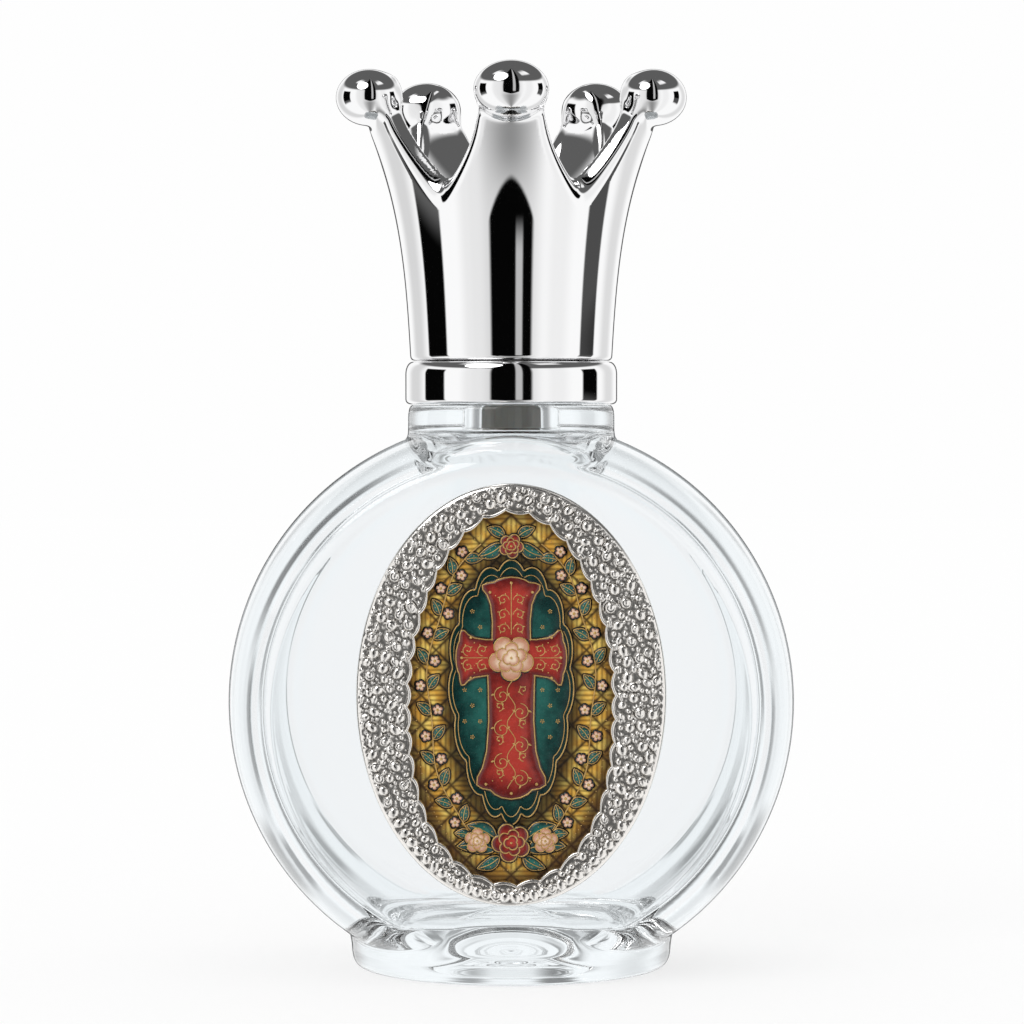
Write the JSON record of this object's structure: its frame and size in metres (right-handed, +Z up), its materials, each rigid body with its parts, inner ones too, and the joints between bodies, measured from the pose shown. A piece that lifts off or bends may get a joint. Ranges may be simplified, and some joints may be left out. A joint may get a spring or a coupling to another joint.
{
  "type": "holy water bottle",
  "caption": "Thick round clear glass bottle with an oval beaded plaque on its face, and a five-pointed crown for a screw cap.",
  "frame": {"origin": "centre of the flat underside of the glass foot", "axes": "+Z up through the crown; -Y out of the face with the plaque; +X to the right as the plaque is seen"},
  "size_m": [0.0604, 0.0366, 0.0963],
  "materials": {
    "clear_glass": "clear, fire polished",
    "natural_plastic": "natural, moulded",
    "chrome": "bright chrome plate",
    "liner_foam": "foamed sheet",
    "white_plastic": "moulded",
    "adhesive_foam": "foam tape",
    "tinned_plate": "tinned sheet",
    "enamel_picture": "coloured enamel on a gilt ground",
    "antique_silver": "cast, silver plated"
  },
  "bodies": {
    "bottle": {"glass_bottle": "clear_glass", "orifice_reducer": "natural_plastic", "collar_ring": "chrome", "plaque_pad": "adhesive_foam", "plaque_back_plate": "tinned_plate", "picture_panel": "enamel_picture", "plaque_frame": "antique_silver"},
    "liner": {"sealing_disc": "liner_foam"},
    "cap": {"inner_cap": "white_plastic", "crown_shell": "chrome"}
  },
  "joints": [
    {"name": "cap_rise", "type": "slide", "parent": "bottle", "child": "liner", "axis": [0, 0, 1], "range_m": [0, 0.006]},
    {"name": "cap_turn", "type": "hinge", "parent": "liner", "child": "cap", "pos_m": [0, 0, 0.0652], "axis": [0, 0, 1], "range_deg": [0, 720]}
  ],
  "couplings": [
    {"joint": "cap_rise", "follows": "cap_turn", "m_per_rad": 0.00047746}
  ]
}
